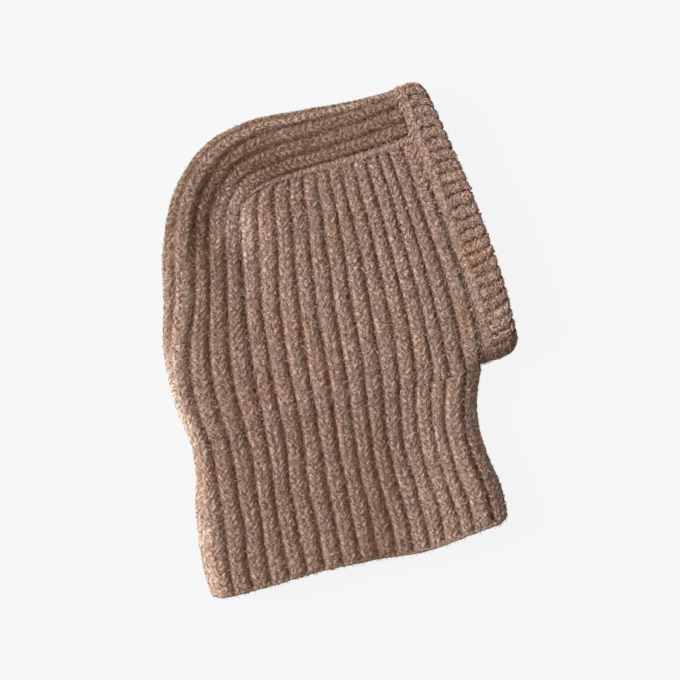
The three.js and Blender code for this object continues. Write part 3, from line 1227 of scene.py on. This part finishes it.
@dataclass
class CrownStrip(KnitPiece):
    """The strip from the neck up the back and over the crown, folded along its middle rib.

    Inside its fold the upper layer sags, most round the back of the crown. The bells lie across the ribs,
    counted from the fold.
    """

    lightness: float = 1.04
    groove: Bell = Bell(1.66, 0.3, 1.4)
    crest: Bell = Bell(0.8, 0.35, 0.1)
    narrow_rib: Bell = Bell(1.5, 0.7)
    narrowing: float = 0.2
    flattening: float = 0.35

    def sink(self, rib: Array, along: Array) -> Array:
        """The ribs are flatter round the back of the crown, with a broad groove behind the outer one.

        Args:
            rib: places across the ribs.
            along: places along the ribs.

        Returns:
            The depth below the crests.
        """
        turning = smooth(along, 0.3, 0.42) * (1 - smooth(along, 0.55, 0.7))
        groove = self.groove.at(np.abs(rib))
        return super().sink(rib, along) * (1 - self.flattening * turning) + groove * turning

    def brushed(self, rib: Array, along: Array) -> Array:
        """How light the wool looks: painted shade, darkest inside the fold round the back of the crown, and
        painted light, brightest at the nape.

        Args:
            rib: places across the ribs.
            along: places along the ribs.

        Returns:
            The lightness.
        """
        across = np.abs(rib)
        turning = smooth(along, 0.28, 0.45)
        # Painted shade inside the fold, deepest round the back of the crown; there the ribs further in get
        # painted light instead
        inside = smooth(across, 0.8, 1.6) * (0.13 + 0.39 * turning - 0.27 * smooth(along, 0.55, 0.75))
        inside *= 1 - 1.35 * turning * (1 - smooth(along, 0.55, 0.68)) * smooth(across, 2.2, 3.4)
        # Painted shade on the fold's rim round the back of the crown
        rim = 0.39 * turning * (1 - smooth(across, 0.2, 1.1))
        # Painted light on the fold at the nape
        nape = 0.31 * (1 - smooth(along, 0.12, 0.28)) * (1 - smooth(across, 0.3, 1.1))
        # Painted light on the crest beside the fold, away from the back of the crown
        crest = self.crest.at(across) * (1 - turning)
        return self.lightness - inside - rim + nape + crest

    def place(self, rib: Array, along: Array, depth: Array) -> Array:
        """Gives points of the strip, square to its fold.

        Args:
            rib: places across the ribs, from the fold.
            along: places along the ribs, from the neck.
            depth: depths below the crests.

        Returns:
            Points, one a row.
        """
        fold = np.stack([STRIP_ROWS.read("outline_x", along), STRIP_ROWS.read("outline_y", along)], axis=-1)
        towards = seam_point(along) - fold
        width = np.linalg.norm(towards, axis=-1)
        flat = width - SEAM_GAP
        narrow = self.narrowing * smooth(along, 0.1, 0.3) * (1 - smooth(along, 0.5, 0.7))
        rib = rib + narrow * np.sign(rib) * self.narrow_rib.at(np.abs(rib))
        from_fold = leaned(rib, STRIP_ROWS.read("lean", along), self.ribs / 2) / (self.ribs / 2)
        s = (flat - HALF_THICKNESS + math.pi / 2 * HALF_THICKNESS) * from_fold
        inwards, z = folded_ring(s, 4 * width, depth)
        z = BACK.lowered(z, inwards) - sag_at(along) * np.clip((rib - 0.6) / 3.7, 0, 1) ** 1.2
        point = fold + towards / width[..., None] * inwards[..., None]
        return dented(point[..., 0], point[..., 1], z)

    def upper_ribs(self) -> tuple[float, float]:
        """The upper layer and the fold, and a little beyond, so that hairs cross the seam."""
        return -1.4, self.ribs / 2 + 0.14


@dataclass
class FaceBand(KnitPiece):
    """The band round the face, knitted outwards from a ridge of picked-up stitches.

    Along its short ribs it runs from its base, 0, to its front edge, 1, and the front edge is shorter.
    """

    closed: bool = True
    lightness: float = 1.12
    chin_shade: Bell = Bell(0, 3.2, 0.31)
    low_end: float = -55.6
    high_end: float = 186.8
    slant: float = 3.8
    low_curl: float = 9.0
    high_curl: float = 8.0
    curl_power: int = 6  # the higher, the closer to the front edge the ends draw in
    pulled_in: Bell = Bell(0.23, 0.1, 1.8)
    base_depth: float = 2.6
    edge_depth: float = 1.5
    ridge: Chain = Chain(
        along=0.23,
        along_jitter=0.006,
        angle=62,
        angle_jitter=7,
        length=7.8,
        wide=3.1,
        thick=1.8,
        depth=1.5,
        tilt=0.3,
        bend=0.5,
        arch=0.2,
        per_rib=2,
    )
    root: Chain = Chain(
        along=-0.005,
        along_jitter=0.006,
        angle=48,
        angle_jitter=12,
        length=7.4,
        wide=1.5,
        thick=1.2,
        depth=0.9,
        tilt=0.3,
        bend=0.5,
        arch=0.2,
        tone=0.2,
        per_rib=2,
        start=0.0,
    )
    join_legs: int = 26

    def place(self, rib: Array, along: Array, depth: Array) -> Array:
        """Gives points of the band.

        Args:
            rib: places across the ribs, from the chin.
            along: places along the ribs, from the base.
            depth: depths below the crests.

        Returns:
            Points, one a row.
        """
        curl = np.clip(along, 0, 1) ** self.curl_power
        pulled_in = self.pulled_in.at(along)
        bottom = self.low_end + self.slant * along + self.low_curl * curl + pulled_in
        height = self.high_end - self.high_curl * curl - pulled_in - bottom
        inwards, z = folded_ring(2 * half_round(height) * rib / self.ribs, height, depth)
        z = BACK.lowered(FRONT.lowered(z, inwards), height - inwards)
        y = bottom + inwards
        base = band_x("base", y)
        scallop = (0.9 + 1.2 * self.valley(rib)) * smooth(along, 0.7, 1.0)
        return dented(base + (band_x("front", y) - base) * along - scallop, y, z)

    def sink(self, rib: Array, along: Array) -> Array:
        """The ridge at the base is smooth, and the ribs start behind it.

        Args:
            rib: places across the ribs.
            along: places along the ribs.

        Returns:
            The depth below the crests.
        """
        ribbed = smooth(along, 0.26, 0.4)
        edge = self.edge_depth * smooth(along, 0.9, 1.0)
        base = self.base_depth * (1 - smooth(along, 0.0, 0.19))
        return self.relief * self.valley(rib) * ribbed + edge + base

    def brushed(self, rib: Array, along: Array) -> Array:
        """The band is a little lighter than the sides, but for painted shade on its folds, the lower one
        most.
        """
        from_chin = np.abs(from_first_fold(rib, self.ribs))
        return self.lightness - self.chin_shade.at(from_chin) - 0.08 * smooth(from_chin, 20, 24)

    def upper_ribs(self) -> tuple[float, float]:
        """The upper layer and both folds."""
        return -1.5, 28.0

    def loop_spots(self, rng: np.random.Generator) -> Spots:
        """The ribs' stitches, without those under the ridge."""
        spots = super().loop_spots(rng)
        return spots.only(spots.along > 0.3)

    def extra_spots(self, rng: np.random.Generator) -> list[Spots]:
        """The ridge of picked-up stitches, the yarn at its root and the criss-cross yarn joining the ends.

        Args:
            rng: the random numbers.

        Returns:
            The three lots of spots.
        """
        ridge = self.ridge.spots(rng, self.first, self.ribs)
        root = self.root.spots(rng, self.first, self.ribs)
        few = self.join_legs
        even = np.ones(few)
        join = Spots(
            rib=rng.uniform(2.0, 4.6, few),
            along=rng.uniform(0.42, 0.9, few),
            angle=rng.uniform(-1.4, 1.4, few),
            length=rng.uniform(7, 11, few),
            wide=1.2 * even,
            thick=1.2 * even,
            depth=rng.uniform(0.2, 1.2, few),
            tilt=rng.normal(0, 0.6, few),
            bend=rng.normal(0, 1.2, few),
            arch=0.5 * even,
            tone=rng.uniform(0.2, 0.8, few),
        )
        return [ridge, root, join]


@dataclass
class Studio:
    """A pale floor, soft light from the left and a camera straight above, as in the photo.

    Angles are degrees. The floor's size is metres, the camera's distances millimetres.
    """

    pixel_mm: float = 0.8213  # of the photograph, at the hood
    pixels: int = 680
    middle_x: float = 6.84
    middle_y: float = -3.97
    focus_z: float = 16.0
    roll: float = 15.0
    lens: float = 85.0
    sensor: float = 36.0
    floor_size: float = 6.0
    floor_colour: str = "#383838"
    floor_glow: float = 0.886
    sky_colour: tuple[float, float, float, float] = (1, 0.93, 0.86, 1)
    sky_strength: float = 0.44
    window_colour: tuple[float, float, float] = (0.97, 0.99, 1.0)
    window_strength: float = 4.66
    window_spread: float = 22.0
    window_bearing: float = 173.0
    window_from_zenith: float = 63.0

    def build(self) -> None:
        """Makes the floor, the lights and the camera."""
        self.floor()
        self.lights()
        self.camera()

    def floor(self) -> None:
        """Makes the floor."""
        bm = bmesh.new()
        bmesh.ops.create_grid(bm, x_segments=1, y_segments=1, size=self.floor_size / 2)
        mesh = bpy.data.meshes.new("floor")
        bm.to_mesh(mesh)
        bm.free()
        mat = bpy.data.materials.new("pale_card")
        mat.use_nodes = True
        shader = mat.node_tree.nodes["Principled BSDF"]
        shader.inputs["Base Color"].default_value = linear(self.floor_colour)
        shader.inputs["Roughness"].default_value = 1.0
        shader.inputs["Specular IOR Level"].default_value = 0.0
        shader.inputs["Emission Color"].default_value = (1, 1, 1, 1)
        shader.inputs["Emission Strength"].default_value = self.floor_glow
        mesh.materials.append(mat)
        floor = bpy.data.objects.new("floor", mesh)
        floor.visible_diffuse = False
        bpy.context.scene.collection.objects.link(floor)

    def lights(self) -> None:
        """Makes the soft light all round and the window light from the left."""
        scene = bpy.context.scene
        world = bpy.data.worlds.new("studio")
        world.use_nodes = True
        background = world.node_tree.nodes["Background"]
        background.inputs["Color"].default_value = self.sky_colour
        background.inputs["Strength"].default_value = self.sky_strength
        scene.world = world
        sun = bpy.data.lights.new("window", "SUN")
        sun.energy = self.window_strength
        sun.color = self.window_colour
        sun.angle = math.radians(self.window_spread)
        lamp = bpy.data.objects.new("window", sun)
        bearing = math.radians(self.window_bearing - self.roll)
        lamp.rotation_euler = (0, math.radians(self.window_from_zenith), bearing)
        scene.collection.objects.link(lamp)
        scene.view_settings.view_transform = "Standard"

    def camera(self) -> None:
        """Makes the camera, rolled as the photo is."""
        data = bpy.data.cameras.new("camera")
        data.lens = self.lens
        data.sensor_width = self.sensor
        data.clip_end = 50
        camera = bpy.data.objects.new("camera", data)
        distance = self.pixel_mm * self.pixels * self.lens / self.sensor
        camera.location = (self.middle_x * MM, self.middle_y * MM, (distance + self.focus_z) * MM)
        camera.rotation_euler = (0, 0, -math.radians(self.roll))
        bpy.context.scene.collection.objects.link(camera)
        bpy.context.scene.camera = camera


def main() -> None:
    logging.basicConfig(level=logging.INFO, format="%(name)s: %(message)s")
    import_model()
    Studio().build()
    finish = BrushedWool()
    wool = {layer: finish.material(layer) for layer in Layer}
    side = {"ribs": SIDE_RIBS, "first": 0.0, "rows": 33}
    pieces: list[KnitPiece] = [
        Neck("neck", "neck_tube", ribs=NECK_RIBS, first=-0.5, rows=23, hairs=31000),
        SidePanel("right_side", "side_panel_right", **side, hairs=32000, seed=SEED + 1),
        SidePanel("left_side", "side_panel_left", **side, hairs=3000, side=-1, seed=SEED + 2),
        CrownStrip(
            "crown",
            "crown_strip",
            ribs=STRIP_RIBS,
            first=-STRIP_RIBS / 2,
            rows=74,
            hairs=26000,
            inner_rows=40,
            seed=SEED + 3,
        ),
        FaceBand(
            "band",
            "face_band",
            ribs=BAND_RIBS,
            first=0.0,
            rows=6,
            hairs=13000,
            relief=3.1,
            row_steps=3,
            inner_rows=5,
            loop_length=7.0,
            loop_wide=1.9,
            loop_thick=1.8,
            wander=0.04,
            stitch_depth=0.5,
            seed=SEED + 4,
        ),
    ]
    for piece in pieces:
        piece.build(wool)


if __name__ == "__main__":
    main()
